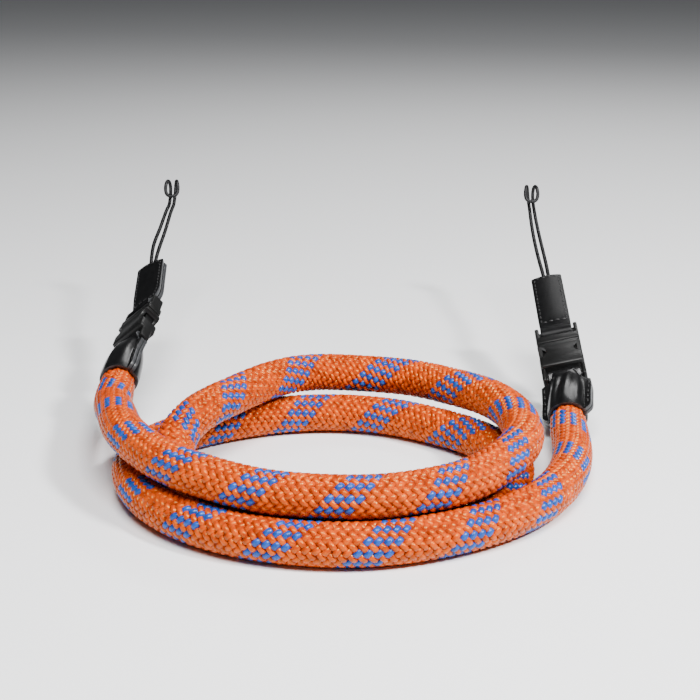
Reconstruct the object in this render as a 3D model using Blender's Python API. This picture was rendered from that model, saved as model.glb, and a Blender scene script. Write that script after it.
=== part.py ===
# Braided camera strap: a round braided rope between two leather end caps, and on each end a
# mini side-release buckle, a leather tab and a thin cord loop that hangs on the carrier's eye.
# Metres, +Z up, +Y away from the viewer. The origin lies midway between the two eyes.

import bpy
import bmesh
import numpy as np
from collections import namedtuple
from math import asin, cos, pi, radians, sin
from mathutils import Matrix, Vector

MM = 0.001
FLOOR_Z = -48.0 * MM

# Rope and thin cord
ROPE_DIAMETER = 11.0 * MM
ROPE_SPACING = 13.0 * MM
ROPE_SIDES_RESOLUTION = 4
CORD_DIAMETER = 1.3 * MM
CORD_SPACING_STRAIGHT = 5.0 * MM
CORD_SPACING_HITCH = 1.0 * MM
CORD_SIDES_RESOLUTION = 2

# Leather, folded round the buckle's bars
LEATHER = 1.2 * MM
SEAT_GAP = 0.3 * MM
BAR_RADIUS = 1.1 * MM
FOLD_RADIUS = BAR_RADIUS + SEAT_GAP + LEATHER
STRAP_HALF_WIDTH = 4.8 * MM
FLANGE_HALF_THICKNESS = 1.1 * MM

# Stations along each end, measured from the end cap's mouth towards the eye
BORE_DEPTH = 8.8 * MM
SOCKET_BAR_Y = 18.6 * MM
SOCKET_START_Y = 22.0 * MM
SOCKET_END_Y = 33.8 * MM
PLUG_START_Y = SOCKET_END_Y + SEAT_GAP
PLUG_BASE_END_Y = 37.4 * MM
PLUG_BAR_Y = 40.4 * MM
PLUG_END_Y = 42.4 * MM
TAB_TOP_Y = 72.0 * MM
CORD_END_Y = 64.8 * MM
CORD_INSIDE_Y = 68.5 * MM
CORD_OUTSIDE_Y = 73.5 * MM

# End cap
BORE_MOUTH_RADIUS = 4.55 * MM
BORE_INNER_RADIUS = 3.95 * MM
BORE_SIDES = 24
CAP_ARC_POINTS = 13

# Buckle
BUCKLE_HALF_WIDTH = 6.6 * MM
RAIL_INNER_X = 5.35 * MM
RAIL_HALF_THICKNESS = 1.7 * MM
SOCKET_HALF_THICKNESS = 3.0 * MM
CAVITY_HALF_WIDTH = 5.3 * MM
CAVITY_HALF_THICKNESS = 1.8 * MM
CAVITY_FLOOR_Y = 23.6 * MM
NOTCH_Y = 29.2 * MM
NOTCH_X = 7.1 * MM
NOTCH_RADIUS = 3.0 * MM
PLUG_HALF_THICKNESS = 2.6 * MM
PRONG_OUTER_X = 5.0 * MM
PRONG_WIDTH = 1.3 * MM
PRONG_HALF_THICKNESS = 1.4 * MM
PRONG_TIP_Y = 27.0 * MM
PRONG_HEAD_X = 4.3 * MM
PRONG_HEAD_Y = 28.2 * MM
PRONG_HEAD_RADIUS = 1.3 * MM
GUIDE_HALF_WIDTH = 1.0 * MM
GUIDE_HALF_THICKNESS = 1.2 * MM
GUIDE_TIP_Y = 25.6 * MM
EDGE_ROUNDING = 0.9 * MM
ROUND_SIDES = 16

# Tab
TAB_HOLE_HALF_WIDTH = 1.9 * MM
TAB_HOLE_HALF_THICKNESS = 0.95 * MM
TAB_HOLE_BOTTOM_Y = 63.5 * MM
TAB_COLUMNS = 9
STRAND_OFFSET = 0.8 * MM

# Each end is a chain of cap, buckle and tab. A turn gives a stretch's direction from the cap's
# mouth towards the eye: yaw to the right, pitch upwards, roll lifting the right-hand side, in degrees.
Turn = namedtuple("Turn", "yaw pitch roll")
CAP_TURN_END_Y = 16.8 * MM
CAP_TURN_LENGTH = 11.0 * MM
TAB_TURN_START_Y = 42.6 * MM
TAB_TURN_LENGTH = 10.5 * MM
CHAIN_STEP = 0.5 * MM

# mouth and eye are x, y and height above the floor; run is the doubled cord between tab and hitch:
# x, y, height of its middle and half the distance between its two strands. All in millimetres.
End = namedtuple("End", "mouth cap buckle tab run eye")
ENDS = {
    "left": End(
        mouth=(-67.8, -125.0, 15.4),
        cap=Turn(3.7, 18.3, 46.8),
        buckle=Turn(3.5, 12.1, 40.3),
        tab=Turn(-3.2, 12.9, 28.3),
        run=[(-66.6, -43.9, 35.1, 1.0), (-66.1, -25.2, 38.9, 1.05), (-65.4, -8.5, 42.8, 0.85)],
        eye=(-65.3, 0.0, 49.1),
    ),
    "right": End(
        mouth=(62.6, -136.0, 8.0),
        cap=Turn(7.8, 19.7, 26.8),
        buckle=Turn(0.0, 19.6, 14.4),
        tab=Turn(0.8, 16.5, 13.8),
        run=[(65.1, -52.7, 32.4, 1.0), (65.7, -28.3, 36.3, 1.05), (66.4, -8.9, 40.4, 0.85)],
        eye=(66.6, 0.0, 47.1),
    ),
}

# One half of the cow hitch, from the standing strand round the back of the eye's bar to the
# bight in front: x, y and z from the eye's centre, in millimetres. The other half mirrors x.
HITCH_HALF = [
    (0.82, -4.6, -5.7),
    (0.82, -2.0, -4.5),
    (0.85, 0.4, -2.9),
    (0.95, 1.8, -0.8),
    (1.25, 1.4, 1.2),
    (1.75, -0.3, 1.9),
    (2.15, -1.8, 0.9),
    (2.25, -2.6, -0.9),
    (1.55, -3.5, -2.5),
]
HITCH_BIGHT = (0.0, -3.9, -2.9)

# The rope's route from inside the left cap to inside the right cap, two and a half turns:
# x, y and height of its centre above the floor, in millimetres
LAY = 5.5
ROPE_ROUTE = [
    (-67.3, -117.5, 17.9),
    (-67.8, -125.0, 15.4),
    (-67.8, -135.8, 13.1),
    (-66.5, -144.1, 13.9),
    (-63.9, -154.4, 15.4),
    (-59.8, -169.6, 16.6),
    (-53.5, -182.1, 16.7),
    (-44.5, -194.3, 16.7),
    (-34.5, -202.3, 16.4),
    (-22.0, -207.9, 15.4),
    (-7.0, -211.1, 15.1),
    (8.0, -210.9, 15.1),
    (20.0, -206.6, 15.1),
    (30.0, -200.3, 15.3),
    (38.3, -190.9, 16.1),
    (44.0, -180.0, 16.7),
    (45.6, -168.8, 16.7),
    (43.8, -154.9, 16.7),
    (38.5, -142.7, 16.5),
    (29.5, -131.0, 15.6),
    (18.5, -121.3, 15.0),
    (3.0, -117.2, 15.1),
    (-12.0, -119.8, 16.2),
    (-24.0, -129.8, 16.8),
    (-33.5, -143.0, 16.7),
    (-42.6, -158.1, 15.8),
    (-46.3, -170.9, 11.9),
    (-43.0, -181.7, 7.6),
    (-34.5, -192.7, LAY),
    (-23.5, -200.4, LAY),
    (-10.0, -205.1, LAY),
    (4.0, -205.7, LAY),
    (17.0, -201.8, LAY),
    (28.7, -194.7, LAY),
    (38.0, -184.8, LAY),
    (43.3, -172.3, LAY),
    (42.0, -158.1, LAY),
    (34.8, -145.9, LAY),
    (24.5, -136.5, LAY),
    (12.0, -128.8, LAY),
    (-4.0, -125.1, LAY),
    (-20.0, -126.9, LAY),
    (-34.5, -133.0, LAY),
    (-47.0, -142.0, LAY),
    (-55.3, -153.2, LAY),
    (-58.1, -166.1, LAY),
    (-55.9, -178.9, LAY),
    (-49.0, -192.9, LAY),
    (-38.8, -204.1, LAY),
    (-25.1, -212.5, LAY),
    (-9.0, -216.8, LAY),
    (6.0, -216.8, LAY),
    (21.5, -212.1, LAY),
    (34.5, -204.7, LAY),
    (45.8, -194.3, LAY),
    (54.6, -180.3, LAY),
    (59.7, -164.7, LAY),
    (61.6, -152.1, LAY),
    (62.1, -144.0, 6.0),
    (62.6, -136.0, 8.0),
    (63.6, -128.5, 10.6),
]

# The end caps squeeze the rope's ends: distance from the rope's end and radius, in millimetres
ROPE_SQUEEZE = [(0.0, 3.6), (4.0, 3.9), (7.9, 4.2), (8.7, 4.8), (10.0, 5.15), (12.5, 5.35), (17.0, 5.5)]

# End cap, from its mouth to the fold: station, half width over the side flanges, half width and
# half height of the round body, and depth of the lengthwise pleats, in millimetres
CapSection = namedtuple("CapSection", "y wing body_x body_z pleat")
CAP_SECTIONS = [
    CapSection(0.0, 5.8, 5.5, 5.5, 0.0),
    CapSection(0.9, 7.1, 5.55, 5.55, 0.1),
    CapSection(2.3, 7.6, 5.6, 5.6, 0.2),
    CapSection(7.5, 7.6, 5.5, 5.3, 0.3),
    CapSection(11.2, 7.5, 5.1, 4.8, 0.4),
    CapSection(14.3, 7.3, 4.7, 4.0, 0.35),
    CapSection(15.1, 6.1, 4.6, 3.7, 0.3),
    CapSection(15.9, 5.1, 4.5, 3.4, 0.2),
    CapSection(16.8, 4.8, 4.3, 2.9, 0.1),
]
PLEAT_WAVES = 1.5

# Tab, from its stitched neck to its top: station, half width, half thickness at the edges and
# in the middle, in millimetres
TabSection = namedtuple("TabSection", "y half_width edge middle")
TAB_SECTIONS = [
    TabSection(42.0, 4.8, 2.0, 2.2),
    TabSection(43.4, 4.8, 1.25, 1.35),
    TabSection(45.0, 4.8, 1.3, 1.8),
    TabSection(48.2, 4.8, 1.35, 2.0),
    TabSection(57.8, 4.8, 1.35, 2.05),
    TabSection(68.2, 4.8, 1.35, 2.05),
    TabSection(71.3, 4.75, 1.3, 2.0),
    TabSection(72.0, 4.3, 1.1, 1.8),
]

ROPE_ORANGE = (0.93, 0.13, 0.014, 1.0)
LEATHER_BLACK = (0.012, 0.012, 0.013, 1.0)
PLASTIC_BLACK = (0.022, 0.022, 0.023, 1.0)
CORD_BLACK = (0.008, 0.008, 0.009, 1.0)


def clear_scene():
    for item in list(bpy.data.objects):
        bpy.data.objects.remove(item, do_unlink=True)


def make_material(name, colour, roughness):
    material = bpy.data.materials.new(name)
    material.use_nodes = True
    shader = material.node_tree.nodes["Principled BSDF"]
    shader.inputs["Base Color"].default_value = colour
    shader.inputs["Roughness"].default_value = roughness
    shader.inputs["Metallic"].default_value = 0.0
    return material


def millimetres(values):
    return [value * MM for value in values]


def above_floor(x, y, height):
    return Vector((x * MM, y * MM, FLOOR_Z + height * MM))


def ease(value):
    value = min(max(value, 0.0), 1.0)
    return value * value * (3.0 - 2.0 * value)


# Natural cubic spline through the route's points, over the distances between them
def smooth_route(points):
    rows = np.array([tuple(point) for point in points])
    gaps = np.linalg.norm(np.diff(rows, axis=0), axis=1)
    knots = np.concatenate([[0.0], np.cumsum(gaps)])
    count = len(rows)
    system = np.eye(count)
    target = np.zeros((count, 3))
    for i in range(1, count - 1):
        before, after = gaps[i - 1], gaps[i]
        system[i, i - 1:i + 2] = (before, 2.0 * (before + after), after)
        target[i] = 6.0 * ((rows[i + 1] - rows[i]) / after - (rows[i] - rows[i - 1]) / before)
    bend = np.linalg.solve(system, target)

    def at(distance):
        i = min(int(np.searchsorted(knots, distance, side="right")) - 1, count - 2)
        gap = gaps[i]
        ahead = knots[i + 1] - distance
        behind = distance - knots[i]
        start = (rows[i] / gap - bend[i] * gap / 6.0) * ahead
        end = (rows[i + 1] / gap - bend[i + 1] * gap / 6.0) * behind
        return Vector(bend[i] * ahead**3 / (6.0 * gap) + bend[i + 1] * behind**3 / (6.0 * gap) + start + end)

    return at, knots


def tube(name, points, diameter, resolution, material, radii=None):
    curve = bpy.data.curves.new(name, "CURVE")
    curve.dimensions = "3D"
    curve.bevel_depth = diameter / 2.0
    curve.bevel_resolution = resolution
    curve.use_fill_caps = True
    spline = curve.splines.new("POLY")
    spline.points.add(len(points) - 1)
    for i, (slot, point) in enumerate(zip(spline.points, points)):
        slot.co = (point.x, point.y, point.z, 1.0)
        slot.radius = radii[i] * 2.0 / diameter if radii else 1.0
    spline.use_smooth = True
    curve.materials.append(material)
    item = bpy.data.objects.new(name, curve)
    bpy.context.scene.collection.objects.link(item)
    return item


# The frame of one end's chain at a station: where its middle lies, and its width, along and face axes
class Chain:
    def __init__(self, end):
        self.end = end
        self.stations = [above_floor(*end.mouth)]
        for i in range(int(round((TAB_TOP_Y + 8.0 * MM) / CHAIN_STEP))):
            middle = (i + 0.5) * CHAIN_STEP
            self.stations.append(self.stations[-1] + self.axes(middle)[1] * CHAIN_STEP)

    def axes(self, y):
        end = self.end
        to_buckle = ease((y - CAP_TURN_END_Y + CAP_TURN_LENGTH) / CAP_TURN_LENGTH)
        to_tab = ease((y - TAB_TURN_START_Y) / TAB_TURN_LENGTH)
        turns = zip(end.cap, end.buckle, end.tab)
        yaw, pitch, roll = [radians(c + (b - c) * to_buckle + (t - b) * to_tab) for c, b, t in turns]
        along = Vector((sin(yaw) * cos(pitch), cos(yaw) * cos(pitch), sin(pitch)))
        level = Vector((cos(yaw), -sin(yaw), 0.0))
        upright = level.cross(along)
        width = level * cos(roll) + upright * sin(roll)
        return width, along, width.cross(along)

    def middle(self, y):
        if y <= 0.0:
            return self.stations[0] + self.axes(0.0)[1] * y
        i = min(int(y / CHAIN_STEP), len(self.stations) - 2)
        part = y / CHAIN_STEP - i
        return self.stations[i].lerp(self.stations[i + 1], part)

    def place(self, point):
        width, _, face = self.axes(point[1])
        return self.middle(point[1]) + width * point[0] + face * point[2]

    def matrix(self, y):
        width, along, face = self.axes(y)
        turn = Matrix((width, along, face)).transposed().to_4x4()
        turn.translation = self.middle(y)
        return turn


def make_helper(name, bm):
    mesh = bpy.data.meshes.new(name)
    bmesh.ops.recalc_face_normals(bm, faces=bm.faces)
    bm.to_mesh(mesh)
    bm.free()
    item = bpy.data.objects.new(name, mesh)
    bpy.context.scene.collection.objects.link(item)
    return item


# Closed body through rings of points with equal counts
def loft(name, rings):
    bm = bmesh.new()
    loops = [[bm.verts.new(point) for point in ring] for ring in rings]
    count = len(loops[0])
    for near, far in zip(loops, loops[1:]):
        for i in range(count):
            j = (i + 1) % count
            bm.faces.new((near[i], near[j], far[j], far[i]))
    bm.faces.new(loops[0])
    bm.faces.new(loops[-1])
    return make_helper(name, bm)


def block(name, low, high, rounding=0.0):
    bm = bmesh.new()
    bmesh.ops.create_cube(bm, size=1.0)
    size = Vector(high) - Vector(low)
    middle = (Vector(high) + Vector(low)) / 2.0
    bmesh.ops.scale(bm, vec=size, verts=bm.verts)
    bmesh.ops.translate(bm, vec=middle, verts=bm.verts)
    if rounding:
        bmesh.ops.bevel(bm, geom=bm.edges[:], offset=rounding, segments=2, profile=0.5, affect="EDGES")
    return make_helper(name, bm)


def rod(name, centre, axis, radius, length, sides, far_radius=None):
    bm = bmesh.new()
    bmesh.ops.create_cone(bm, cap_ends=True, segments=sides, radius1=radius,
                          radius2=far_radius or radius, depth=length)
    turn = Vector((0.0, 0.0, 1.0)).rotation_difference(Vector(axis)).to_matrix()
    bmesh.ops.rotate(bm, cent=(0.0, 0.0, 0.0), matrix=turn, verts=bm.verts)
    bmesh.ops.translate(bm, vec=centre, verts=bm.verts)
    return make_helper(name, bm)


# Joins and cuts the helpers into the body, then drops them
def carve(body, joined, cut):
    tools = [(tool, "UNION") for tool in joined] + [(tool, "DIFFERENCE") for tool in cut]
    for tool, operation in tools:
        tool.hide_render = True
        tool.display_type = "WIRE"
        step = body.modifiers.new(tool.name, "BOOLEAN")
        step.object = tool
        step.operation = operation
        step.solver = "EXACT"
    shape = body.evaluated_get(bpy.context.evaluated_depsgraph_get())
    mesh = bpy.data.meshes.new_from_object(shape)
    for item in [body] + [tool for tool, _ in tools]:
        bpy.data.objects.remove(item, do_unlink=True)
    return mesh


def dress(name, mesh, parent, material):
    mesh.name = name
    mesh.materials.clear()
    mesh.materials.append(material)
    mesh.shade_smooth()
    mesh.set_sharp_from_angle(angle=radians(40.0))
    item = bpy.data.objects.new(name, mesh)
    bpy.context.scene.collection.objects.link(item)
    item.parent = parent
    return item


# A hard piece keeps its shape and takes the chain's place and turn at a station
def seat_hard(name, mesh, chain, y, parent, material):
    mesh.transform(Matrix.Translation((0.0, -y, 0.0)))
    item = dress(name, mesh, parent, material)
    item.matrix_basis = Matrix.Translation(-parent.location) @ chain.matrix(y)
    return item


# A leather piece bends and twists along the chain
def seat_bent(name, mesh, chain, parent, material):
    for vertex in mesh.vertices:
        vertex.co = chain.place(vertex.co) - parent.location
    return dress(name, mesh, parent, material)


# Round nose of leather folded round a bar: stations and half heights
def fold_profile(bar_y, way, degrees):
    return [(bar_y + way * FOLD_RADIUS * sin(radians(d)), FOLD_RADIUS * cos(radians(d))) for d in degrees]


def cap_ring(y, wing, body_x, body_z, pleat):
    flange = min(FLANGE_HALF_THICKNESS, 0.6 * body_z)
    crease = body_x + 0.3 * (wing - body_x)
    start = asin(min(1.0, (flange + 0.02 * MM) / body_z))
    half = [(wing, flange), (crease, flange)]
    for i in range(CAP_ARC_POINTS):
        angle = start + (pi - 2.0 * start) * i / (CAP_ARC_POINTS - 1)
        x = body_x * cos(angle)
        rise = pleat * sin(angle) * cos(2.0 * pi * PLEAT_WAVES * x / body_x)
        half.append((x, body_z * sin(angle) + rise))
    half += [(-crease, flange), (-wing, flange)]
    upper = [(x, y, z) for x, z in half]
    lower = [(x, y, -z) for x, z in reversed(half)]
    return upper + lower


def make_end_cap(side, chain, parent, material):
    rings = [cap_ring(*millimetres(section)) for section in CAP_SECTIONS]
    for y, height in fold_profile(SOCKET_BAR_Y, 1.0, (0, 30, 60, 82)):
        rings.append(cap_ring(y, STRAP_HALF_WIDTH, STRAP_HALF_WIDTH - 0.3 * MM, height, 0.0))
    body = loft(side + "_cap_body", rings)
    overrun = 1.0 * MM
    bore_middle = (0.0, (BORE_DEPTH - overrun) / 2.0, 0.0)
    bore = rod(side + "_bore", bore_middle, (0, 1, 0), BORE_MOUTH_RADIUS, BORE_DEPTH + overrun,
               BORE_SIDES, BORE_INNER_RADIUS)
    eye = rod(side + "_cap_eye", (0.0, SOCKET_BAR_Y, 0.0), (1, 0, 0), BAR_RADIUS + SEAT_GAP,
              4.0 * STRAP_HALF_WIDTH, ROUND_SIDES)
    mesh = carve(body, [], [bore, eye])
    return seat_bent(side + "_end_cap", mesh, chain, parent, material)


def rails_and_bar(side, name, rail_start, rail_end, bar_y, half_thickness):
    pieces = []
    for sign in (-1.0, 1.0):
        inner, outer = sorted((sign * RAIL_INNER_X, sign * BUCKLE_HALF_WIDTH))
        pieces.append(block(side + name + "_rail", (inner, rail_start, -half_thickness),
                            (outer, rail_end, half_thickness), 0.4 * MM))
    pieces.append(rod(side + name + "_bar", (0.0, bar_y, 0.0), (1, 0, 0), BAR_RADIUS,
                      2.0 * RAIL_INNER_X + 0.8 * MM, ROUND_SIDES))
    return pieces


def make_socket(side, chain, parent, material):
    body = block(side + "_socket_body", (-BUCKLE_HALF_WIDTH, SOCKET_START_Y, -SOCKET_HALF_THICKNESS),
                 (BUCKLE_HALF_WIDTH, SOCKET_END_Y, SOCKET_HALF_THICKNESS), EDGE_ROUNDING)
    joined = rails_and_bar(side, "_socket", SOCKET_BAR_Y - BAR_RADIUS - 0.3 * MM, SOCKET_START_Y + 1.5 * MM,
                           SOCKET_BAR_Y, RAIL_HALF_THICKNESS)
    cavity = block(side + "_cavity", (-CAVITY_HALF_WIDTH, CAVITY_FLOOR_Y, -CAVITY_HALF_THICKNESS),
                   (CAVITY_HALF_WIDTH, SOCKET_END_Y + 1.0 * MM, CAVITY_HALF_THICKNESS))
    notches = [rod(side + "_notch", (sign * NOTCH_X, NOTCH_Y, 0.0), (0, 0, 1), NOTCH_RADIUS,
                   4.0 * SOCKET_HALF_THICKNESS, ROUND_SIDES) for sign in (-1.0, 1.0)]
    mesh = carve(body, joined, [cavity] + notches)
    return seat_hard(side + "_buckle_socket", mesh, chain, SOCKET_BAR_Y, parent, material)


def make_plug(side, chain, parent, material):
    body = block(side + "_plug_base", (-BUCKLE_HALF_WIDTH, PLUG_START_Y, -PLUG_HALF_THICKNESS),
                 (BUCKLE_HALF_WIDTH, PLUG_BASE_END_Y, PLUG_HALF_THICKNESS), 0.6 * MM)
    inside = PLUG_START_Y + 1.5 * MM
    joined = rails_and_bar(side, "_plug", inside, PLUG_END_Y, PLUG_BAR_Y, 2.0 * MM)
    joined.append(block(side + "_guide", (-GUIDE_HALF_WIDTH, GUIDE_TIP_Y, -GUIDE_HALF_THICKNESS),
                        (GUIDE_HALF_WIDTH, inside, GUIDE_HALF_THICKNESS)))
    for sign in (-1.0, 1.0):
        inner, outer = sorted((sign * (PRONG_OUTER_X - PRONG_WIDTH), sign * PRONG_OUTER_X))
        joined.append(block(side + "_prong", (inner, PRONG_TIP_Y, -PRONG_HALF_THICKNESS),
                            (outer, inside, PRONG_HALF_THICKNESS)))
        joined.append(rod(side + "_head", (sign * PRONG_HEAD_X, PRONG_HEAD_Y, 0.0), (0, 0, 1),
                          PRONG_HEAD_RADIUS, 2.0 * PRONG_HALF_THICKNESS - 0.1 * MM, ROUND_SIDES))
    mesh = carve(body, joined, [])
    return seat_hard(side + "_buckle_plug", mesh, chain, PLUG_BAR_Y, parent, material)


def tab_ring(y, half_width, edge, middle):
    xs = [half_width * (1.0 - 2.0 * i / (TAB_COLUMNS - 1)) for i in range(TAB_COLUMNS)]
    upper = [(x, y, edge + (middle - edge) * (1.0 - (x / half_width) ** 2)) for x in xs]
    return upper + [(x, y, -z) for x, y, z in reversed(upper)]


def make_tab(side, chain, parent, material):
    rings = []
    for y, height in fold_profile(PLUG_BAR_Y, -1.0, (82, 60, 30, 0)):
        rings.append(tab_ring(y, STRAP_HALF_WIDTH, height, height))
    rings += [tab_ring(*millimetres(section)) for section in TAB_SECTIONS]
    body = loft(side + "_tab_body", rings)
    eye = rod(side + "_tab_eye", (0.0, PLUG_BAR_Y, 0.0), (1, 0, 0), BAR_RADIUS + SEAT_GAP,
              4.0 * STRAP_HALF_WIDTH, ROUND_SIDES)
    hole = block(side + "_tab_hole", (-TAB_HOLE_HALF_WIDTH, TAB_HOLE_BOTTOM_Y, -TAB_HOLE_HALF_THICKNESS),
                 (TAB_HOLE_HALF_WIDTH, TAB_TOP_Y + 1.0 * MM, TAB_HOLE_HALF_THICKNESS))
    mesh = carve(body, [], [eye, hole])
    return seat_bent(side + "_tab", mesh, chain, parent, material)


# Half of the loop's route, from inside the tab to the hitch's last point before the bight
def cord_half(end, chain, sign):
    stations = (CORD_END_Y, CORD_INSIDE_Y, CORD_OUTSIDE_Y)
    points = [chain.place((sign * STRAND_OFFSET, y, 0.0)) for y in stations]
    for x, y, height, spread in end.run:
        points.append(above_floor(x + sign * spread, y, height))
    eye = above_floor(*end.eye)
    return points + [eye + Vector((sign * x, y, z)) * MM for x, y, z in HITCH_HALF]


def make_cord_loop(side, chain, material):
    end = ENDS[side]
    right_half = cord_half(end, chain, 1.0)
    left_half = cord_half(end, chain, -1.0)
    bight = above_floor(*end.eye) + Vector(HITCH_BIGHT) * MM
    route = right_half + [bight] + left_half[::-1]
    at, knots = smooth_route(route)
    hitch_start = len(right_half) - len(HITCH_HALF)
    hitch_end = len(route) - 1 - hitch_start
    points = []
    for i in range(len(route) - 1):
        fine = hitch_start <= i < hitch_end
        spacing = CORD_SPACING_HITCH if fine else CORD_SPACING_STRAIGHT
        parts = max(1, round((knots[i + 1] - knots[i]) / spacing))
        points += [at(knots[i] + (knots[i + 1] - knots[i]) * k / parts) for k in range(parts)]
    points.append(at(knots[-1]))
    return tube(side + "_cord_loop", points, CORD_DIAMETER, CORD_SIDES_RESOLUTION, material)


def make_rope(material):
    at, knots = smooth_route([above_floor(*row) for row in ROPE_ROUTE])
    marks, squeezed = np.array(ROPE_SQUEEZE).T * MM
    free_length = knots[-1] - 2.0 * marks[-1]
    parts = round(free_length / ROPE_SPACING)
    between = [marks[-1] + free_length * i / parts for i in range(1, parts)]
    distances = [*marks, *between, *(knots[-1] - marks[::-1])]
    radii = [float(np.interp(min(d, knots[-1] - d), marks, squeezed)) for d in distances]
    points = []
    for distance, radius in zip(distances, radii):
        point = at(distance)
        point.z = max(point.z, FLOOR_Z + radius)
        points.append(point)
    return tube("rope", points, ROPE_DIAMETER, ROPE_SIDES_RESOLUTION, material, radii)


def make_end(side, leather, plastic, cord):
    chain = Chain(ENDS[side])
    parent = bpy.data.objects.new(side + "_end", None)
    parent.location = above_floor(*ENDS[side].mouth)
    bpy.context.scene.collection.objects.link(parent)
    make_end_cap(side, chain, parent, leather)
    make_socket(side, chain, parent, plastic)
    make_plug(side, chain, parent, plastic)
    make_tab(side, chain, parent, leather)
    make_cord_loop(side, chain, cord)


def main():
    clear_scene()
    make_rope(make_material("rope_braid", ROPE_ORANGE, 0.55))
    for side in ENDS:
        leather = make_material(side + "_leather", LEATHER_BLACK, 0.38)
        plastic = make_material(side + "_plastic", PLASTIC_BLACK, 0.42)
        cord = make_material(side + "_cord", CORD_BLACK, 0.6)
        make_end(side, leather, plastic, cord)


main()
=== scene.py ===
# Braided camera strap, dressed: rope braid, leather end caps and tabs, mini buckles, thin cord loops
import bpy
import bmesh
import numpy as np
from math import cos, pi, radians, sin
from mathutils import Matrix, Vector


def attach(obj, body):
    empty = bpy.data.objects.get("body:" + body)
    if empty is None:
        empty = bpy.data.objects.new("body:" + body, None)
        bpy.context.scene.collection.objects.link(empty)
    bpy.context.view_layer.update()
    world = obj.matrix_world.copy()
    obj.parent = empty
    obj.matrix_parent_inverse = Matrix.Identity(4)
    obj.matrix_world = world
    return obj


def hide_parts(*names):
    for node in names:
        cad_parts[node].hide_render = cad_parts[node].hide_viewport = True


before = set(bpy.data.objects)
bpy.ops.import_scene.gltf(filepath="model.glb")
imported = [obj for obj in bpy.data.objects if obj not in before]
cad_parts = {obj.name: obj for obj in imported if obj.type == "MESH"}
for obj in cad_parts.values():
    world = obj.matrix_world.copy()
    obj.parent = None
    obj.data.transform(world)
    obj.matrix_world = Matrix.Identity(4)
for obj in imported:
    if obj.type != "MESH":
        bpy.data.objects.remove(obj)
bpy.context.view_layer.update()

mm = 0.001
floorZ = -0.048  # what the rope lies on
seamGap = 1e-7  # points of a seam that lie closer than this are one point


# Camera at the photograph's angle

photoCamera = {
    "place": (0.0, -0.5332, 0.1033),
    "tilt": 72.78,
    "lens": 75.43,
    "sensor": 36.0,
}

camera = bpy.data.objects.new("camera", bpy.data.cameras.new("camera"))
camera.data.sensor_width = photoCamera["sensor"]
camera.data.lens = photoCamera["lens"]
camera.location = photoCamera["place"]
camera.rotation_euler = (radians(photoCamera["tilt"]), 0.0, 0.0)
bpy.context.scene.collection.objects.link(camera)
bpy.context.scene.camera = camera
print("camera set")


# Lines and meshes

# natural cubic spline through the points, over the distances between them
def smoothRoute(points):
    rows = np.array(points, float)
    gaps = np.linalg.norm(np.diff(rows, axis=0), axis=1)
    knots = np.concatenate([[0.0], np.cumsum(gaps)])
    count = len(rows)
    system = np.eye(count)
    target = np.zeros((count, 3))
    for i in range(1, count - 1):
        before, after = gaps[i - 1], gaps[i]
        system[i, i - 1:i + 2] = (before, 2.0 * (before + after), after)
        target[i] = 6.0 * ((rows[i + 1] - rows[i]) / after - (rows[i] - rows[i - 1]) / before)
    bend = np.linalg.solve(system, target)

    def at(distances):
        i = np.clip(np.searchsorted(knots, distances, side="right") - 1, 0, count - 2)
        gap = gaps[i][:, None]
        ahead = (knots[i + 1] - distances)[:, None]
        behind = (distances - knots[i])[:, None]
        start = (rows[i] / gap - bend[i] * gap / 6.0) * ahead
        end = (rows[i + 1] / gap - bend[i + 1] * gap / 6.0) * behind
        return (bend[i] * ahead**3 + bend[i + 1] * behind**3) / (6.0 * gap) + start + end

    return at, knots


# a line with frames carried along it untwisted, so that patterns can be laid round it
class Lay:
    def __init__(self, points, step, up=(0.0, 0.0, 1.0), lowest=None):
        at, knots = smoothRoute(points)
        fineStep = step * 0.25  # the curve's length is measured in these
        rough = at(np.linspace(0.0, knots[-1], int(knots[-1] / fineStep)))
        if lowest is not None:
            rough[:, 2] = np.maximum(rough[:, 2], lowest)
        run = np.concatenate([[0.0], np.cumsum(np.linalg.norm(np.diff(rough, axis=0), axis=1))])
        self.length = run[-1]
        self.s = np.linspace(0.0, self.length, int(self.length / step) + 1)
        self.c = np.stack([np.interp(self.s, run, rough[:, k]) for k in range(3)], axis=1)
        ahead = np.gradient(self.c, axis=0)
        self.t = ahead / np.linalg.norm(ahead, axis=1)[:, None]
        side = np.array(up, float)
        sides = []
        for t in self.t:
            side = side - t * side.dot(t)
            side = side / np.linalg.norm(side)
            sides.append(side)
        self.n = np.array(sides)
        self.b = np.cross(self.t, self.n)

    def pick(self, table, s):
        return np.stack([np.interp(s, self.s, table[:, k]) for k in range(3)], axis=-1)

    def place(self, s, turn, radius):
        across = self.pick(self.n, s) * np.cos(turn)[..., None] + self.pick(self.b, s) * np.sin(turn)[..., None]
        return self.pick(self.c, s) + across * radius[..., None]


# every column of a table but its first, read where the first column would have this value
def readTable(table, value):
    return [np.interp(value, table[:, 0], table[:, k]) for k in range(1, table.shape[1])]


def addPiece(name, mesh, materials):
    item = bpy.data.objects.new(name, mesh)
    bpy.context.scene.collection.objects.link(item)
    mesh.materials.clear()
    for material in materials:
        mesh.materials.append(material)
    return item


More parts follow.
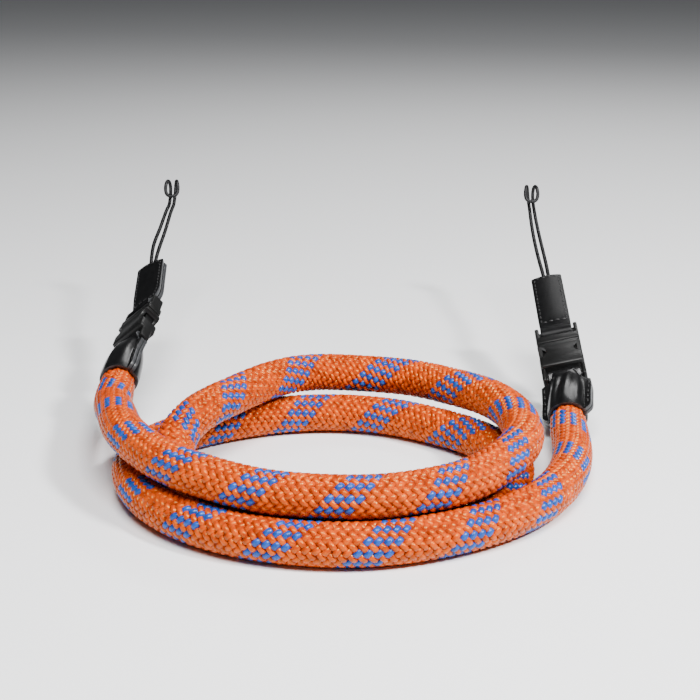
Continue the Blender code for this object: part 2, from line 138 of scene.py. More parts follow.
def joinedMesh(name, points, quads, materials, uv=None):
    mesh = bpy.data.meshes.new(name)
    mesh.vertices.add(len(points))
    mesh.vertices.foreach_set("co", np.asarray(points, np.float32).ravel())
    mesh.loops.add(quads.size)
    mesh.loops.foreach_set("vertex_index", quads.ravel().astype(np.int32))
    mesh.polygons.add(len(quads))
    mesh.polygons.foreach_set("loop_start", np.arange(0, quads.size, quads.shape[1], dtype=np.int32))
    if uv is not None:
        layer = mesh.uv_layers.new(name="lay")
        layer.data.foreach_set("uv", np.asarray(uv, np.float32)[quads.ravel()].ravel())
    mesh.update(calc_edges=True)
    mesh.validate()
    mesh.shade_smooth()
    return addPiece(name, mesh, materials)


# many copies of one small shape: shapes is copies x points x 3
def copiesMesh(name, shapes, quads, materials, uv=None):
    copies, count = shapes.shape[:2]
    allQuads = (quads[None] + (np.arange(copies) * count)[:, None, None]).reshape(-1, quads.shape[1])
    allUv = None if uv is None else uv.reshape(-1, 2)
    return joinedMesh(name, shapes.reshape(-1, 3), allQuads, materials, allUv)


# a flat grid of cells as points in 0..1 and quads, from Blender's own grid
def gridArrays(cellsX, cellsY):
    bm = bmesh.new()
    bmesh.ops.create_grid(bm, x_segments=cellsX, y_segments=cellsY, size=0.5)
    bm.verts.ensure_lookup_table()
    points = np.array([(v.co.x + 0.5, v.co.y + 0.5) for v in bm.verts])
    quads = np.array([[v.index for v in face.verts] for face in bm.faces])
    bm.free()
    return points, quads


# faces outward; an open tube's seam and ends are closed first
def turnOutward(mesh, openTube=False):
    bm = bmesh.new()
    bm.from_mesh(mesh)
    if openTube:
        bmesh.ops.remove_doubles(bm, verts=bm.verts, dist=seamGap)
        bmesh.ops.holes_fill(bm, edges=[edge for edge in bm.edges if edge.is_boundary], sides=0)
    bmesh.ops.recalc_face_normals(bm, faces=bm.faces)
    bm.to_mesh(mesh)
    bm.free()
    mesh.shade_smooth()


# Materials

def nodeKit(name, colour, roughness, **sockets):
    material = bpy.data.materials.new(name)
    material.use_nodes = True
    tree = material.node_tree
    shader = tree.nodes["Principled BSDF"]
    shader.inputs["Base Color"].default_value = (*colour, 1.0)
    shader.inputs["Roughness"].default_value = roughness
    for socket, value in sockets.items():
        shader.inputs[socket.replace("_", " ")].default_value = value
    return material, tree, shader


def addNode(tree, kind, links, **values):
    node = tree.nodes.new(kind)
    for name, value in values.items():
        if hasattr(node, name):
            setattr(node, name, value)
        else:
            node.inputs[name.replace("_", " ")].default_value = value
    for socket, source in links.items():
        tree.links.new(source, node.inputs[socket])
    return node


def addNoise(tree, spot, scale, detail):
    return addNode(tree, "ShaderNodeTexNoise", {"Vector": spot}, Scale=scale, Detail=detail).outputs["Fac"]


# from the low colour to the high one, where the noise goes from the first limit to the second
def addShades(tree, shader, noise, low, high, limits):
    ramp = addNode(tree, "ShaderNodeValToRGB", {"Fac": noise})
    for element, place, colour in zip(ramp.color_ramp.elements, limits, (low, high)):
        element.position = place
        element.color = (*colour, 1.0)
    tree.links.new(ramp.outputs["Color"], shader.inputs["Base Color"])


def addGloss(tree, shader, noise, smoothest, roughest):
    gloss = addNode(tree, "ShaderNodeMapRange", {"Value": noise}, To_Min=smoothest, To_Max=roughest)
    tree.links.new(gloss.outputs["Result"], shader.inputs["Roughness"])


def addBump(tree, shader, height, strength, depth):
    bump = addNode(tree, "ShaderNodeBump", {"Height": height}, Strength=strength, Distance=depth)
    tree.links.new(bump.outputs["Normal"], shader.inputs["Normal"])


yarn = {
    "specular": 0.5,
    "shadeScale": 420.0,
    "shadeDetail": 2.0,
    "shadeLimits": (0.35, 0.62),
    "filamentsAlong": 1.2,
    "filamentDetail": 1.0,
    "bumpStrength": 0.6,
}


# satin braid yarn: filaments along each strand from the piece's own map, and a slight change of shade
def yarnMaterial(name, low, high, shine, filaments, bumpDepth, roughness):
    material, tree, shader = nodeKit(name, high, roughness, Specular_Tint=(*shine, 1.0),
                                     Specular_IOR_Level=yarn["specular"])
    spot = addNode(tree, "ShaderNodeTexCoord", {})
    shade = addNoise(tree, spot.outputs["Object"], yarn["shadeScale"], yarn["shadeDetail"])
    addShades(tree, shader, shade, low, high, yarn["shadeLimits"])
    stretch = addNode(tree, "ShaderNodeMapping", {"Vector": spot.outputs["UV"]})
    stretch.inputs["Scale"].default_value = (filaments, yarn["filamentsAlong"], 1.0)
    threads = addNoise(tree, stretch.outputs["Vector"], 1.0, yarn["filamentDetail"])
    addBump(tree, shader, threads, yarn["bumpStrength"], bumpDepth)
    return material


leatherFinish = {
    "base": (0.0025, 0.0025, 0.0028),
    "darkest": (0.0015, 0.0015, 0.0017),
    "lightest": (0.004, 0.004, 0.0043),
    "shadeLimits": (0.35, 0.7),
    "grainScale": 1500.0,
    "creaseScale": 420.0,
    "creaseDetail": 4.0,
    "bumpStrength": 0.12,
    "bumpDepth": 0.0001,
}


def leatherMaterial(name, shine, smoothest, roughest):
    finish = leatherFinish
    material, tree, shader = nodeKit(name, finish["base"], smoothest, Specular_IOR_Level=shine)
    spot = addNode(tree, "ShaderNodeTexCoord", {}).outputs["Object"]
    grain = addNode(tree, "ShaderNodeTexVoronoi", {"Vector": spot}, Scale=finish["grainScale"])
    creases = addNoise(tree, spot, finish["creaseScale"], finish["creaseDetail"])
    mixed = addNode(tree, "ShaderNodeMath", {0: grain.outputs["Distance"], 1: creases}, operation="ADD")
    addBump(tree, shader, mixed.outputs["Value"], finish["bumpStrength"], finish["bumpDepth"])
    addShades(tree, shader, creases, finish["darkest"], finish["lightest"], finish["shadeLimits"])
    addGloss(tree, shader, creases, smoothest, roughest)
    return material


edgePaintFinish = {
    "base": (0.018, 0.0185, 0.02),
    "darkest": (0.016, 0.0165, 0.018),
    "lightest": (0.042, 0.043, 0.046),
    "shadeLimits": (0.3, 0.7),
    "roughness": 0.4,
    "specular": 0.45,
    "noiseScale": 900.0,
    "noiseDetail": 3.0,
    "bumpStrength": 0.4,
    "bumpDepth": 0.0001,
}


def edgePaintMaterial(name):
    finish = edgePaintFinish
    material, tree, shader = nodeKit(name, finish["base"], finish["roughness"], Specular_IOR_Level=finish["specular"])
    spot = addNode(tree, "ShaderNodeTexCoord", {}).outputs["Object"]
    noise = addNoise(tree, spot, finish["noiseScale"], finish["noiseDetail"])
    addShades(tree, shader, noise, finish["darkest"], finish["lightest"], finish["shadeLimits"])
    addBump(tree, shader, noise, finish["bumpStrength"], finish["bumpDepth"])
    return material


plasticFinish = {
    "base": (0.006, 0.006, 0.006),
    "darkest": (0.0025, 0.0025, 0.0025),
    "lightest": (0.005, 0.005, 0.005),
    "shadeLimits": (0.3, 0.7),
    "roughness": 0.45,
    "smoothest": 0.36,
    "roughest": 0.5,
    "specular": 0.3,
    "fineScale": 5000.0,
    "broadScale": 260.0,
    "noiseDetail": 2.0,
    "bumpStrength": 0.25,
    "bumpDepth": 0.00004,
}


def plasticMaterial(name):
    finish = plasticFinish
    material, tree, shader = nodeKit(name, finish["base"], finish["roughness"], Specular_IOR_Level=finish["specular"])
    spot = addNode(tree, "ShaderNodeTexCoord", {}).outputs["Object"]
    fine = addNoise(tree, spot, finish["fineScale"], finish["noiseDetail"])
    broad = addNoise(tree, spot, finish["broadScale"], finish["noiseDetail"])
    addBump(tree, shader, fine, finish["bumpStrength"], finish["bumpDepth"])
    addGloss(tree, shader, broad, finish["smoothest"], finish["roughest"])
    addShades(tree, shader, broad, finish["darkest"], finish["lightest"], finish["shadeLimits"])
    return material


threadFinish = {
    "base": (0.006, 0.006, 0.0065),
    "roughness": 0.42,
    "twistScale": 3500.0,
    "twistDetail": 2.0,
    "bumpStrength": 0.5,
    "bumpDepth": 0.00005,
}


def threadMaterial(name):
    finish = threadFinish
    material, tree, shader = nodeKit(name, finish["base"], finish["roughness"])
    spot = addNode(tree, "ShaderNodeTexCoord", {}).outputs["Object"]
    twist = addNoise(tree, spot, finish["twistScale"], finish["twistDetail"])
    addBump(tree, shader, twist, finish["bumpStrength"], finish["bumpDepth"])
    return material


orangeYarn = yarnMaterial("orangeYarn", low=(0.29, 0.023, 0.0), high=(0.52, 0.060, 0.0), shine=(1.0, 0.8, 0.22),
                          filaments=7.0, bumpDepth=0.00012, roughness=0.28)
blueYarn = yarnMaterial("blueYarn", low=(0.006, 0.036, 0.20), high=(0.010, 0.062, 0.32), shine=(0.6, 0.8, 1.0),
                        filaments=7.0, bumpDepth=0.00016, roughness=0.30)
# the rope's core is coloured dark red, darker than its yarn: painted shade in the gaps between the grains
gapShadeCoreYarn = yarnMaterial("gapShadeCoreYarn", low=(0.13, 0.005, 0.0001), high=(0.18, 0.008, 0.0001), shine=(1.0, 0.5, 0.2),
                        filaments=7.0, bumpDepth=0.0001, roughness=0.7)
blackYarn = yarnMaterial("blackYarn", low=(0.0015, 0.0015, 0.0017), high=(0.003, 0.003, 0.0033),
                         shine=(0.6, 0.6, 0.62), filaments=5.0, bumpDepth=0.00003, roughness=0.42)
glossyLeather = leatherMaterial("glossyLeather", shine=0.45, smoothest=0.27, roughest=0.33)
matteLeather = leatherMaterial("matteLeather", shine=0.15, smoothest=0.36, roughest=0.48)
edgePaint = edgePaintMaterial("edgePaint")
bucklePlastic = plasticMaterial("bucklePlastic")
blackThread = threadMaterial("blackThread")
print("materials made")


# Braid round a line: half of the strands run one way round, the other half the other way

# how a grain of braid narrows to its ends and falls to its edges, and how many yarn ridges it has
pillow = {
    "narrowPower": 3.0,
    "fallPower": 3.4,
    "ridges": 1.5,
}


# distance along and turn of every grain that shows, where a strand passes over another, and its row and column
def braidFloats(lay, braid):
    rowStep = braid["pitch"] / (2.0 * braid["carriers"])
    rows = np.arange(int(braid["endGap"] / rowStep), int((lay.length - braid["endGap"]) / rowStep) + 1)
    columns = np.arange(2 * braid["carriers"])
    n, m = [a.ravel() for a in np.meshgrid(rows, columns, indexing="ij")]
    shown = (n + m) % 2 == 0
    n, m = n[shown], m[shown]
    return n * rowStep, m * pi / braid["carriers"], n, m


# a grain's own shape, in 0..1 across and along: a pillow that dives at its ends
def floatShape(braid, across, along):
    p = 2.0 * along - 1.0
    q = 2.0 * across - 1.0
    widen = 1.0 - braid["narrowing"] * np.abs(p) ** pillow["narrowPower"]
    drop = braid["endDrop"] * np.abs(p) ** pillow["fallPower"] + braid["sideDrop"] * np.abs(q) ** pillow["fallPower"]
    ridge = braid["ridge"] * (0.5 - 0.5 * np.cos(2.0 * pi * pillow["ridges"] * (q + 1.0)))
    return p * braid["halfLength"], q * braid["halfWidth"] * widen, drop + ridge


# coloursOf sorts the grains into pieces: the end of each one's name, its material and its grains
def braidPieces(name, lay, braid, coloursOf, taper=None, twist=None):
    shape, quads = gridArrays(braid["cellsAcross"], braid["cellsAlong"])
    alongLine, turn, n, m = braidFloats(lay, braid)
    radius = braid["radius"]
    narrowed = taper(alongLine) if taper else np.ones_like(alongLine)
    slope = np.arctan(2.0 * pi * radius / braid["pitch"])
    down, sideways, drop = floatShape(braid, shape[:, 0], shape[:, 1])
    made = []
    for key, material, chosen in coloursOf(alongLine, n, m):
        way = np.where(m[chosen] % 2 == 0, -1.0, 1.0)[:, None]
        s = alongLine[chosen][:, None] + down * cos(slope) + sideways * sin(slope)
        swing = (down * sin(slope) - sideways * cos(slope)) / radius
        theta = turn[chosen][:, None] + way * swing
        if twist:
            theta = theta + twist(s)
        r = (radius - drop)[None, :] * narrowed[chosen][:, None]
        points = lay.place(s, theta, r)
        # grains of the way that turns backwards are mirrored, so their faces are turned over too
        order = quads[:, ::-1] if m[chosen][0] % 2 == 0 else quads
        uv = np.broadcast_to(shape[None], (len(points), *shape.shape))
        made.append(copiesMesh(name + key, points, order, [material], uv.copy()))
    return made


# what fills the braid, so that nothing shows through between its grains
def coreTube(name, lay, braid, material, taper=None):
    s = np.append(np.arange(0.0, lay.length, braid["coreStep"]), lay.length)
    shape, quads = gridArrays(braid["coreSides"], len(s) - 1)
    run = np.interp(shape[:, 1], np.linspace(0.0, 1.0, len(s)), s)
    r = np.full(len(run), braid["coreRadius"]) * (taper(run) if taper else 1.0)
    item = joinedMesh(name, lay.place(run, shape[:, 0] * 2.0 * pi, r), quads[:, ::-1], [material], shape)
    turnOutward(item.data, openTube=True)
    return item


# Rope

onFloor = 0.0055
# the rope's route from inside the left cap to inside the right cap: x, y and height above the floor
ropeRoute = [
    (-0.0673, -0.1175, 0.0179), (-0.0678, -0.1250, 0.0154), (-0.0678, -0.1358, 0.0131),
    (-0.0665, -0.1441, 0.0139), (-0.0639, -0.1544, 0.0154), (-0.0598, -0.1696, 0.0166),
    (-0.0535, -0.1821, 0.0167), (-0.0445, -0.1943, 0.0167), (-0.0345, -0.2023, 0.0164),
    (-0.0220, -0.2079, 0.0154), (-0.0070, -0.2111, 0.0151), (0.0080, -0.2109, 0.0151),
    (0.0200, -0.2066, 0.0151), (0.0300, -0.2003, 0.0153), (0.0383, -0.1909, 0.0161),
    (0.0440, -0.1800, 0.0167), (0.0456, -0.1688, 0.0167), (0.0438, -0.1549, 0.0167),
    (0.0385, -0.1427, 0.0165), (0.0295, -0.1310, 0.0156), (0.0185, -0.1213, 0.0150),
    (0.0030, -0.1172, 0.0151), (-0.0120, -0.1198, 0.0162), (-0.0240, -0.1298, 0.0168),
    (-0.0335, -0.1430, 0.0167), (-0.0426, -0.1581, 0.0158), (-0.0463, -0.1709, 0.0119),
    (-0.0430, -0.1817, 0.0076), (-0.0345, -0.1927, onFloor), (-0.0235, -0.2004, onFloor),
    (-0.0100, -0.2051, onFloor), (0.0040, -0.2057, onFloor), (0.0170, -0.2018, onFloor),
    (0.0287, -0.1947, onFloor), (0.0380, -0.1848, onFloor), (0.0433, -0.1723, onFloor),
    (0.0420, -0.1581, onFloor), (0.0348, -0.1459, onFloor), (0.0245, -0.1365, onFloor),
    (0.0120, -0.1288, onFloor), (-0.0040, -0.1251, onFloor), (-0.0200, -0.1269, onFloor),
    (-0.0345, -0.1330, onFloor), (-0.0470, -0.1420, onFloor), (-0.0553, -0.1532, onFloor),
    (-0.0581, -0.1661, onFloor), (-0.0559, -0.1789, onFloor), (-0.0490, -0.1929, onFloor),
    (-0.0388, -0.2041, onFloor), (-0.0251, -0.2125, onFloor), (-0.0090, -0.2168, onFloor),
    (0.0060, -0.2168, onFloor), (0.0215, -0.2121, onFloor), (0.0345, -0.2047, onFloor),
    (0.0458, -0.1943, onFloor), (0.0546, -0.1803, onFloor), (0.0597, -0.1647, onFloor),
    (0.0616, -0.1521, onFloor), (0.0621, -0.1440, 0.0060), (0.0626, -0.1360, 0.0080),
    (0.0636, -0.1285, 0.0106),
]

# carriers is how many strands run each way; the drops are how far a grain dives at its ends and sides
ropeBraid = {
    "radius": 0.0055,
    "carriers": 10,
    "blueCarriers": 4,
    "pitch": 0.0224,
    "halfLength": 0.00172,
    "halfWidth": 0.00087,
    "narrowing": 0.15,
    "endDrop": 0.00090,
    "sideDrop": 0.00065,
    "ridge": 0.00006,
    "cellsAcross": 6,
    "cellsAlong": 4,
    "endGap": 0.002,
    "coreRadius": 0.0048,
    "coreSides": 16,
    "coreStep": 0.003,
    "layStep": 0.0005,
    "pathEvery": 4,
}

# the leather squeezes the rope's ends: distance from the rope's end and radius, in mm
ropeSqueeze = np.array([(0.0, 3.6), (4.0, 3.9), (7.9, 4.2), (8.7, 4.8), (10.0, 5.15), (12.5, 5.35), (17.0, 5.5)])

# coiling twists the rope: distance along it in metres and how far the pattern has turned, in turns
ropeTwist = np.array([
    (0.0, -0.35), (0.04, -0.22), (0.08, -0.12), (0.14, -0.10), (0.18, -0.01), (0.22, 0.17), (0.26, 0.55),
    (0.30, 0.96), (0.33, 1.27), (0.36, 1.17), (0.38, 1.10), (0.40, 1.14), (0.44, 1.42), (0.48, 1.95),
    (0.52, 2.45), (0.56, 2.65), (0.60, 2.75), (0.66, 2.90), (0.72, 3.02), (0.78, 3.19), (0.83, 3.30),
])

ropeLay = Lay([(x, y, z + floorZ) for x, y, z in ropeRoute], ropeBraid["layStep"], lowest=floorZ + ropeBraid["radius"])


def ropeTaper(s):
    near = np.minimum(s, ropeLay.length - s) / mm
    return readTable(ropeSqueeze, near)[0] * mm / ropeBraid["radius"]


def ropeTurn(s):
    return 2.0 * pi * readTable(ropeTwist, s)[0]


def ropeColours(s, n, m):
    forward = m % 2 == 0
    blue = forward & ((n + m) // 2 % ropeBraid["carriers"] < ropeBraid["blueCarriers"])
    firstHalf = s < ropeLay.length / 2.0
    return [
        ("Blue", blueYarn, blue),
        ("OrangeForward", orangeYarn, forward & ~blue),
        ("OrangeBackFirst", orangeYarn, ~forward & firstHalf),
        ("OrangeBackSecond", orangeYarn, ~forward & ~firstHalf),
    ]


# the core's dark colour is painted shade where it shows between the grains
ropeCore = coreTube("ropeCore", ropeLay, ropeBraid, gapShadeCoreYarn, ropeTaper)
ropeGrains = braidPieces("rope", ropeLay, ropeBraid, ropeColours, ropeTaper, ropeTurn)
for piece in [ropeCore, *ropeGrains]:
    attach(piece, "root")
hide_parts("rope")
print("rope made", round(ropeLay.length, 4), "m,", sum(len(p.data.polygons) for p in ropeGrains) * 2, "triangles")


# Ends: each is a chain of cap, buckle and tab, bent and turned a little from one to the next

# where along an end, in mm from the cap's mouth, the turn to the buckle ends and the turn to the tab starts
chainSizes = {
    "capTurnEnd": 16.8,
    "capTurnLength": 11.0,
    "tabTurnStart": 42.6,
    "tabTurnLength": 10.5,
    "step": 0.5,
    "top": 80.0,
}

# mouth and hang, where the loop's top stands, are x, y and height in mm; cap, buckle and tab are yaw, pitch
# and roll in degrees; run is the loop's way up, as x, y, height and half the gap between its strands
ends = {
    "left": {
        "mouth": (-67.8, -125.0, 15.4),
        "cap": (3.7, 18.3, 46.8),
        "buckle": (3.5, 12.1, 40.3),
        "tab": (-3.2, 12.9, 28.3),
        "run": [(-66.6, -43.9, 35.1, 1.0), (-66.1, -25.2, 38.9, 1.05), (-65.4, -8.5, 42.8, 0.85)],
        "hang": (-65.3, 0.0, 49.1),
        "pleat": 0.12,
        "pleatShift": 0.4,
    },
    "right": {
        "mouth": (62.6, -136.0, 8.0),
        "cap": (7.8, 19.7, 26.8),
        "buckle": (0.0, 19.6, 14.4),
        "tab": (0.8, 16.5, 13.8),
        "run": [(65.1, -52.7, 32.4, 1.0), (65.7, -28.3, 36.3, 1.05), (66.4, -8.9, 40.4, 0.85)],
        "hang": (66.6, 0.0, 47.1),
        "pleat": 0.42,
        "pleatShift": 1.1,
    },
}


# x, y and height in mm to x, y and z in mm
def fromFloor(place):
    return np.array(place) + (0.0, 0.0, floorZ / mm)


def smoothStep(value):
    value = np.clip(value, 0.0, 1.0)
    return value * value * (3.0 - 2.0 * value)


class Chain:
    def __init__(self, end):
        self.turns = [np.radians(end[key]) for key in ("cap", "buckle", "tab")]
        count = int(round(chainSizes["top"] / chainSizes["step"]))
        middles = (np.arange(count) + 0.5) * chainSizes["step"]
        steps = self.axes(middles)[1] * chainSizes["step"]
        mouth = fromFloor(end["mouth"])
        self.line = np.vstack([mouth, mouth + np.cumsum(steps, axis=0)])
        self.marks = np.arange(count + 1) * chainSizes["step"]

    def axes(self, y):
        cap, buckle, tab = self.turns
        capTurnStart = chainSizes["capTurnEnd"] - chainSizes["capTurnLength"]
        toBuckle = smoothStep((y - capTurnStart) / chainSizes["capTurnLength"])
        toTab = smoothStep((y - chainSizes["tabTurnStart"]) / chainSizes["tabTurnLength"])
        turn = cap + (buckle - cap) * toBuckle[..., None] + (tab - buckle) * toTab[..., None]
        yaw, pitch, roll = turn[..., 0], turn[..., 1], turn[..., 2]
        along = np.stack([np.sin(yaw) * np.cos(pitch), np.cos(yaw) * np.cos(pitch), np.sin(pitch)], axis=-1)
        level = np.stack([np.cos(yaw), -np.sin(yaw), np.zeros_like(yaw)], axis=-1)
        upright = np.cross(level, along)
        width = level * np.cos(roll)[..., None] + upright * np.sin(roll)[..., None]
        return width, along, np.cross(width, along)

    # points in the end's own millimetres, across, along and up from its middle, to metres in the frame
    def place(self, points):
        points = np.asarray(points, float)
        y = points[..., 1]
        width, along, face = self.axes(y)
        middle = np.stack([np.interp(y, self.marks, self.line[:, k]) for k in range(3)], axis=-1)
        middle = middle + along * np.minimum(y, 0.0)[..., None]
        return (middle + width * points[..., 0:1] + face * points[..., 2:3]) * mm


chains = {side: Chain(end) for side, end in ends.items()}


# Thin cord loops, each with a cow hitch at its top

# strandOffset and insideTab place the strands' ends between the tab's layers, across and along it in mm
thinCord = {
    "radius": 0.00065,
    "carriers": 6,
    "pitch": 0.0034,
    "halfLength": 0.00036,
    "halfWidth": 0.00022,
    "narrowing": 0.3,
    "endDrop": 0.00009,
    "sideDrop": 0.00007,
    "ridge": 0.0,
    "cellsAcross": 2,
    "cellsAlong": 3,
    "endGap": 0.0,
    "coreRadius": 0.00055,
    "coreSides": 10,
    "coreStep": 0.0006,
    "layStep": 0.0002,
    "pathEvery": 3,
    "strandOffset": 0.8,
    "insideTab": (64.8, 68.5, 73.5),
}

# half of the hitch, from the standing strand up and round to the bight, in mm from where it hangs
hitchHalf = [
    (0.82, -4.6, -5.7), (0.82, -2.0, -4.5), (0.85, 0.4, -2.9), (0.95, 1.8, -0.8), (1.25, 1.4, 1.2),
    (1.75, -0.3, 1.9), (2.15, -1.8, 0.9), (2.25, -2.6, -0.9), (1.55, -3.5, -2.5),
]
hitchBight = (0.0, -3.9, -2.9)


# one strand from inside the tab to the bight; sign is the side of the end that it runs up
def cordHalf(end, chain, sign):
    points = [chain.place((sign * thinCord["strandOffset"], y, 0.0)) for y in thinCord["insideTab"]]
    points += [fromFloor((x + sign * spread, y, height)) * mm for x, y, height, spread in end["run"]]
    return points + [(fromFloor(end["hang"]) + (sign * x, y, z)) * mm for x, y, z in hitchHalf]


def cordStrands(s, n, m):
    return [("Forward", blackYarn, m % 2 == 0), ("Back", blackYarn, m % 2 == 1)]


for side, end in ends.items():
    bight = (fromFloor(end["hang"]) + hitchBight) * mm
    route = cordHalf(end, chains[side], 1.0) + [bight] + cordHalf(end, chains[side], -1.0)[::-1]
    cordLay = Lay(route, thinCord["layStep"], up=(1.0, 0.0, 0.0))
    core = coreTube(side + "CordCore", cordLay, thinCord, blackYarn)
    grains = braidPieces(side + "Cord", cordLay, thinCord, cordStrands)
    for piece in [core, *grains]:
        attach(piece, "root")
    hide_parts(side + "_cord_loop")
    chains[side].place((0.8, 72.0, 0.0)).tolist()
    print(side, "cord loop made", round(cordLay.length, 4), "m")


# Leather sheets, in mm along each end: they run down one side, round the buckle's bar and back along the other

leather = {
    "capThickness": 1.0,
    "tabThickness": 1.25,
    "layerGap": 0.2,
    "barRadius": 1.1,
    "seatGap": 0.3,
    "strapHalfWidth": 4.8,
    "foldTurns": (90.0, 60.0, 30.0, 0.0, -30.0, -60.0, -90.0),
    "edgeRound": 0.16,
    "edgeSegments": 2,
    "edgeAngle": 50.0,
}


# section gives x and z at a station, for u from -1 to 1 across and way 1 above or -1 below;
# foldWay is 1 where the bar lies towards the tab and -1 where it lies towards the cap
def foldedSheet(shape, thickness, foldWay, section):
    rows = [(y, 1.0, None) for y in shape["rows"]]
    rows += [(shape["bar"], 0.0, turn) for turn in leather["foldTurns"]]
    rows += [(y, -1.0, None) for y in shape["rows"][::-1]]
    grid, quads = gridArrays(shape["cellsAcross"], len(rows) - 1)
    across = grid[:, 0] * 2.0 - 1.0
    rowOf = np.rint(grid[:, 1] * (len(rows) - 1)).astype(int)
    radius = leather["barRadius"] + leather["seatGap"] + thickness / 2.0
    points = np.zeros((len(grid), 3))
    for i, (y, way, turn) in enumerate(rows):
        u = across[rowOf == i]
        if turn is None:
            x, z = section(y, u, way)
        else:
            x, z = u * leather["strapHalfWidth"], radius * sin(radians(turn))
            y = y + foldWay * radius * cos(radians(turn))
        points[rowOf == i] = np.stack(np.broadcast_arrays(x, y, z), axis=1)
    return points, quads


def sheetPiece(name, points, quads, materials, thickness):
    item = joinedMesh(name, points, quads, materials)
    wall = item.modifiers.new("wall", "SOLIDIFY")
    wall.thickness = thickness * mm
    wall.offset = 0.0
    wall.use_even_offset = True
    wall.material_offset_rim = 1
    edge = item.modifiers.new("edge", "BEVEL")
    edge.width = leather["edgeRound"] * mm
    edge.segments = leather["edgeSegments"]
    edge.limit_method = "ANGLE"
    edge.angle_limit = radians(leather["edgeAngle"])
    return item


# Leather end caps

# from the mouth to the fold: station, half width with flanges, half width and height of the body, pleats
capTable = np.array([
    (0.0, 6.0, 5.45, 5.45, 0.0),
    (0.5, 6.7, 5.5, 5.5, 0.2),
    (1.1, 7.25, 5.55, 5.55, 0.4),
    (2.3, 7.6, 5.6, 5.6, 0.8),
    (7.5, 7.6, 5.5, 5.3, 1.0),
    (11.2, 7.5, 5.1, 4.8, 1.0),
    (14.2, 7.35, 4.7, 4.0, 0.9),
    (14.5, 7.15, 4.65, 3.9, 0.8),
    (15.1, 6.1, 4.6, 3.7, 0.7),
    (15.9, 5.1, 4.5, 3.4, 0.4),
    (16.8, 4.8, 4.3, 2.9, 0.1),
    (17.6, 4.8, 4.2, 2.65, 0.0),
])
capShape = {
    "rows": (0.0, 0.3, 0.7, 1.2, 1.9, 2.8, 3.9, 5.2, 6.5, 7.8, 9.1, 10.4, 11.7, 12.9, 13.8, 14.3, 14.7, 15.1,
             15.5, 15.9, 16.5, 17.4),
    "bar": 18.6,
    "cellsAcross": 36,
    "bodyShare": 0.74,
    "domePower": 0.8,
    "pleatWave": 3.9,
}


# flange, round body with pleats, flange
def capSection(y, u, way, end):
    half = leather["capThickness"] / 2.0
    wing, bodyX, bodyZ, pleatShare = readTable(capTable, y)
    flange = half + leather["layerGap"] / 2.0
    bodyX, bodyZ = bodyX - half, bodyZ - half
    share = capShape["bodyShare"]
    inside = np.clip(u / share, -1.0, 1.0)
    outside = np.clip((np.abs(u) - share) / (1.0 - share), 0.0, 1.0)
    angle = inside * pi / 2.0
    x = np.where(np.abs(u) <= share, bodyX * np.sin(angle), np.sign(u) * (bodyX + (wing - bodyX) * outside))
    dome = flange + (bodyZ - flange) * np.clip(np.cos(angle), 0.0, 1.0) ** capShape["domePower"]
    wave = np.cos(2.0 * pi * (x - way * end["pleatShift"]) / capShape["pleatWave"])
    pleated = dome + end["pleat"] * pleatShare * wave * np.cos(angle)
    return x, way * np.where(np.abs(u) <= share, pleated, flange)


for side, end in ends.items():
    points, quads = foldedSheet(capShape, leather["capThickness"], 1.0, lambda y, u, way: capSection(y, u, way, end))
    cap = sheetPiece(side + "CapLeather", chains[side].place(points), quads[:, ::-1],
                     [glossyLeather, edgePaint], leather["capThickness"])
    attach(cap, "root")
    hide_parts(side + "_end_cap")
    print(side, "cap made")


# Leather tabs, with the thin cord's ends between their layers

# from the neck to the top: station, half width, outer half thickness at the edges and in the middle
tabTable = np.array([
    (42.0, 4.8, 2.0, 2.2),
    (43.4, 4.8, 1.25, 1.35),
    (45.0, 4.8, 1.3, 1.8),
    (48.2, 4.8, 1.35, 2.0),
    (57.8, 4.8, 1.35, 2.05),
    (68.2, 4.8, 1.35, 2.05),
    (71.6, 4.8, 1.35, 2.05),
    (72.0, 4.6, 1.3, 2.0),
])
tabShape = {
    "rows": (72.0, 71.7, 71.1, 69.8, 67.5, 64.5, 61.5, 58.5, 55.5, 52.5, 50.0, 47.8, 45.9, 44.8, 43.9, 43.2,
             42.5, 41.7),
    "bar": 40.4,
    "cellsAcross": 16,
}


# height of the tab's outer face over its middle
def tabSurface(x, y):
    width, edge, middle = readTable(tabTable, y)
    return edge + (middle - edge) * (1.0 - (x / width) ** 2)


def tabSection(y, u, way):
    x = u * readTable(tabTable, y)[0]
    return x, way * (tabSurface(x, y) - leather["tabThickness"] / 2.0)


for side in ends:
    points, quads = foldedSheet(tabShape, leather["tabThickness"], -1.0, tabSection)
    tab = sheetPiece(side + "TabLeather", chains[side].place(points), quads,
                     [matteLeather, edgePaint], leather["tabThickness"])
    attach(tab, "root")
    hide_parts(side + "_tab")
    print(side, "tab made")


# Stitches: short threads that dive into the leather, on the caps' flanges and round the tabs

stitch = {
    "length": 1.75,
    "spacing": 2.2,
    "radius": 0.27,
    "dive": 0.3,
    "bluntness": 0.7,
    "sides": 8,
    "flangeX": 6.7,
    "flangeY": (2.2, 13.9),
    "flangeZ": 1.1,
    "tabX": 4.0,
    "tabY": (45.4, 71.0),
}


def stitchShape():
    bm = bmesh.new()
    bmesh.ops.create_uvsphere(bm, u_segments=stitch["sides"], v_segments=stitch["sides"], radius=1.0)
    bmesh.ops.triangulate(bm, faces=bm.faces)
    bm.verts.ensure_lookup_table()
    ball = np.array([tuple(v.co) for v in bm.verts])
    triangles = np.array([[v.index for v in face.verts] for face in bm.faces])
    bm.free()
    along = np.sign(ball[:, 2]) * np.abs(ball[:, 2]) ** stitch["bluntness"] * stitch["length"] / 2.0
    height = ball[:, 1] * stitch["radius"] - stitch["dive"] * (2.0 * along / stitch["length"]) ** 2
    return ball[:, 0] * stitch["radius"], along, height, triangles


across, along, height, triangles = stitchShape()


# where the stitches of one row have their middles
def stitchRow(low, high):
    count = int(round((high - low) / stitch["spacing"]))
    return low + (np.arange(count) + 0.5) * (high - low) / count


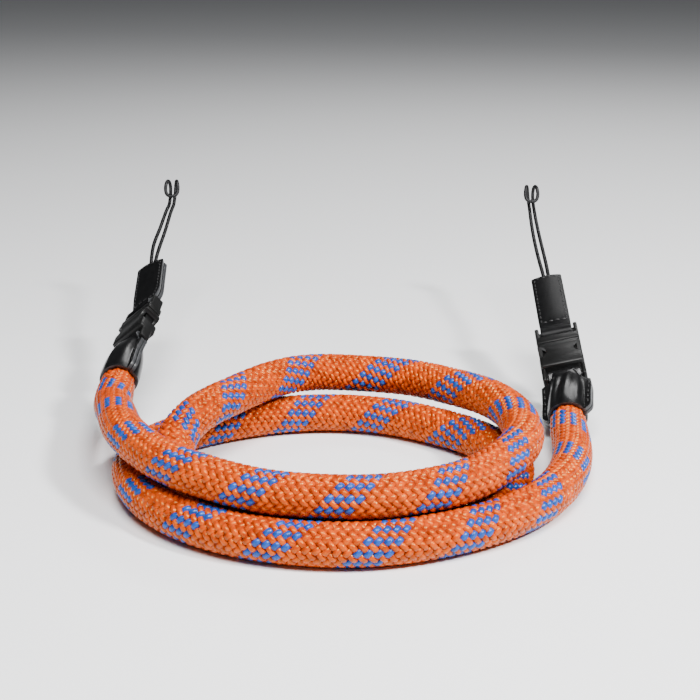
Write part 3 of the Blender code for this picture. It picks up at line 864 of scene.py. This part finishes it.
def threadAt(x, y, level, way):
    return np.stack([x, y, way * (level + height)], axis=1)


for side in ends:
    shapes = []
    for way in (-1.0, 1.0):
        for x in (-stitch["flangeX"], stitch["flangeX"]):
            for y in stitchRow(*stitch["flangeY"]):
                shapes.append(threadAt(x + across, y + along, stitch["flangeZ"], way))
        for x in (-stitch["tabX"], stitch["tabX"]):
            for y in stitchRow(*stitch["tabY"]):
                shapes.append(threadAt(x + across, y + along, tabSurface(x + across, y + along), way))
        for y in stitch["tabY"]:
            for x in stitchRow(-stitch["tabX"], stitch["tabX"]):
                shapes.append(threadAt(x + along, y + across, tabSurface(x + along, y + across), way))
    threads = copiesMesh(side + "Stitches", chains[side].place(np.array(shapes)), triangles, [blackThread])
    turnOutward(threads.data)
    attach(threads, "root")
print("stitches made")


# Buckles: the solids' own form with its edges softened

buckleFinish = {
    "edgeWidth": 0.28,
    "edgeSegments": 3,
    "edgeAngle": 35.0,
    "flatAngle": 1.0,
    "mergeDistance": 1e-6,
}

for side in ends:
    for part, pieceName in (("buckle_socket", "Socket"), ("buckle_plug", "Plug")):
        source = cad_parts[side + "_" + part]
        bm = bmesh.new()
        bm.from_mesh(source.data)
        bm.transform(source.matrix_world)
        bmesh.ops.remove_doubles(bm, verts=bm.verts, dist=buckleFinish["mergeDistance"])
        flat = radians(buckleFinish["flatAngle"])
        bmesh.ops.dissolve_limit(bm, angle_limit=flat, verts=bm.verts, edges=bm.edges)
        mesh = bpy.data.meshes.new(side + pieceName)
        bm.to_mesh(mesh)
        bm.free()
        mesh.shade_smooth()
        shell = addPiece(side + pieceName, mesh, [bucklePlastic])
        soften = shell.modifiers.new("soften", "BEVEL")
        soften.width = buckleFinish["edgeWidth"] * mm
        soften.segments = buckleFinish["edgeSegments"]
        soften.limit_method = "ANGLE"
        soften.angle_limit = radians(buckleFinish["edgeAngle"])
        soften.harden_normals = True
        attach(shell, "root")
        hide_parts(side + "_" + part)
print("buckles made")


# Floor and soft studio light

studio = {
    "floorSize": 12.0,
    "floorDrop": 0.0001,
    "floorColour": (0.88, 0.885, 0.895),
    "floorRoughness": 0.6,
    "lightsLookAt": (0.0, -0.15, -0.03),
    "skyColour": (0.86, 0.89, 0.93),
    "skyStrength": 0.075,
}

# place, size and power
lights = {
    "keyLight": ((0.05, -0.5, 0.6), (0.4, 0.26), 10.8),
    "sideLight": ((0.45, -0.45, 0.5), (0.1, 0.1), 9.5),
    "backLight": ((0.2, 0.42, 0.56), (0.4, 0.14), 2.0),
}

bm = bmesh.new()
bmesh.ops.create_grid(bm, x_segments=1, y_segments=1, size=studio["floorSize"] / 2.0)
bmesh.ops.translate(bm, verts=bm.verts, vec=(0.0, 0.0, floorZ - studio["floorDrop"]))
floorMesh = bpy.data.meshes.new("floor")
bm.to_mesh(floorMesh)
bm.free()
floorMaterial = nodeKit("paleFloor", studio["floorColour"], studio["floorRoughness"])[0]
floor = addPiece("floor", floorMesh, [floorMaterial])

for name, (place, size, power) in lights.items():
    light = bpy.data.lights.new(name, "AREA")
    light.shape = "RECTANGLE"
    light.size, light.size_y = size
    light.energy = power
    item = bpy.data.objects.new(name, light)
    item.location = place
    item.rotation_euler = (Vector(studio["lightsLookAt"]) - Vector(place)).to_track_quat("-Z", "Y").to_euler()
    bpy.context.scene.collection.objects.link(item)

world = bpy.data.worlds.new("studio")
world.use_nodes = True
background = world.node_tree.nodes["Background"]
background.inputs["Color"].default_value = (*studio["skyColour"], 1.0)
background.inputs["Strength"].default_value = studio["skyStrength"]
bpy.context.scene.world = world
print("studio made")
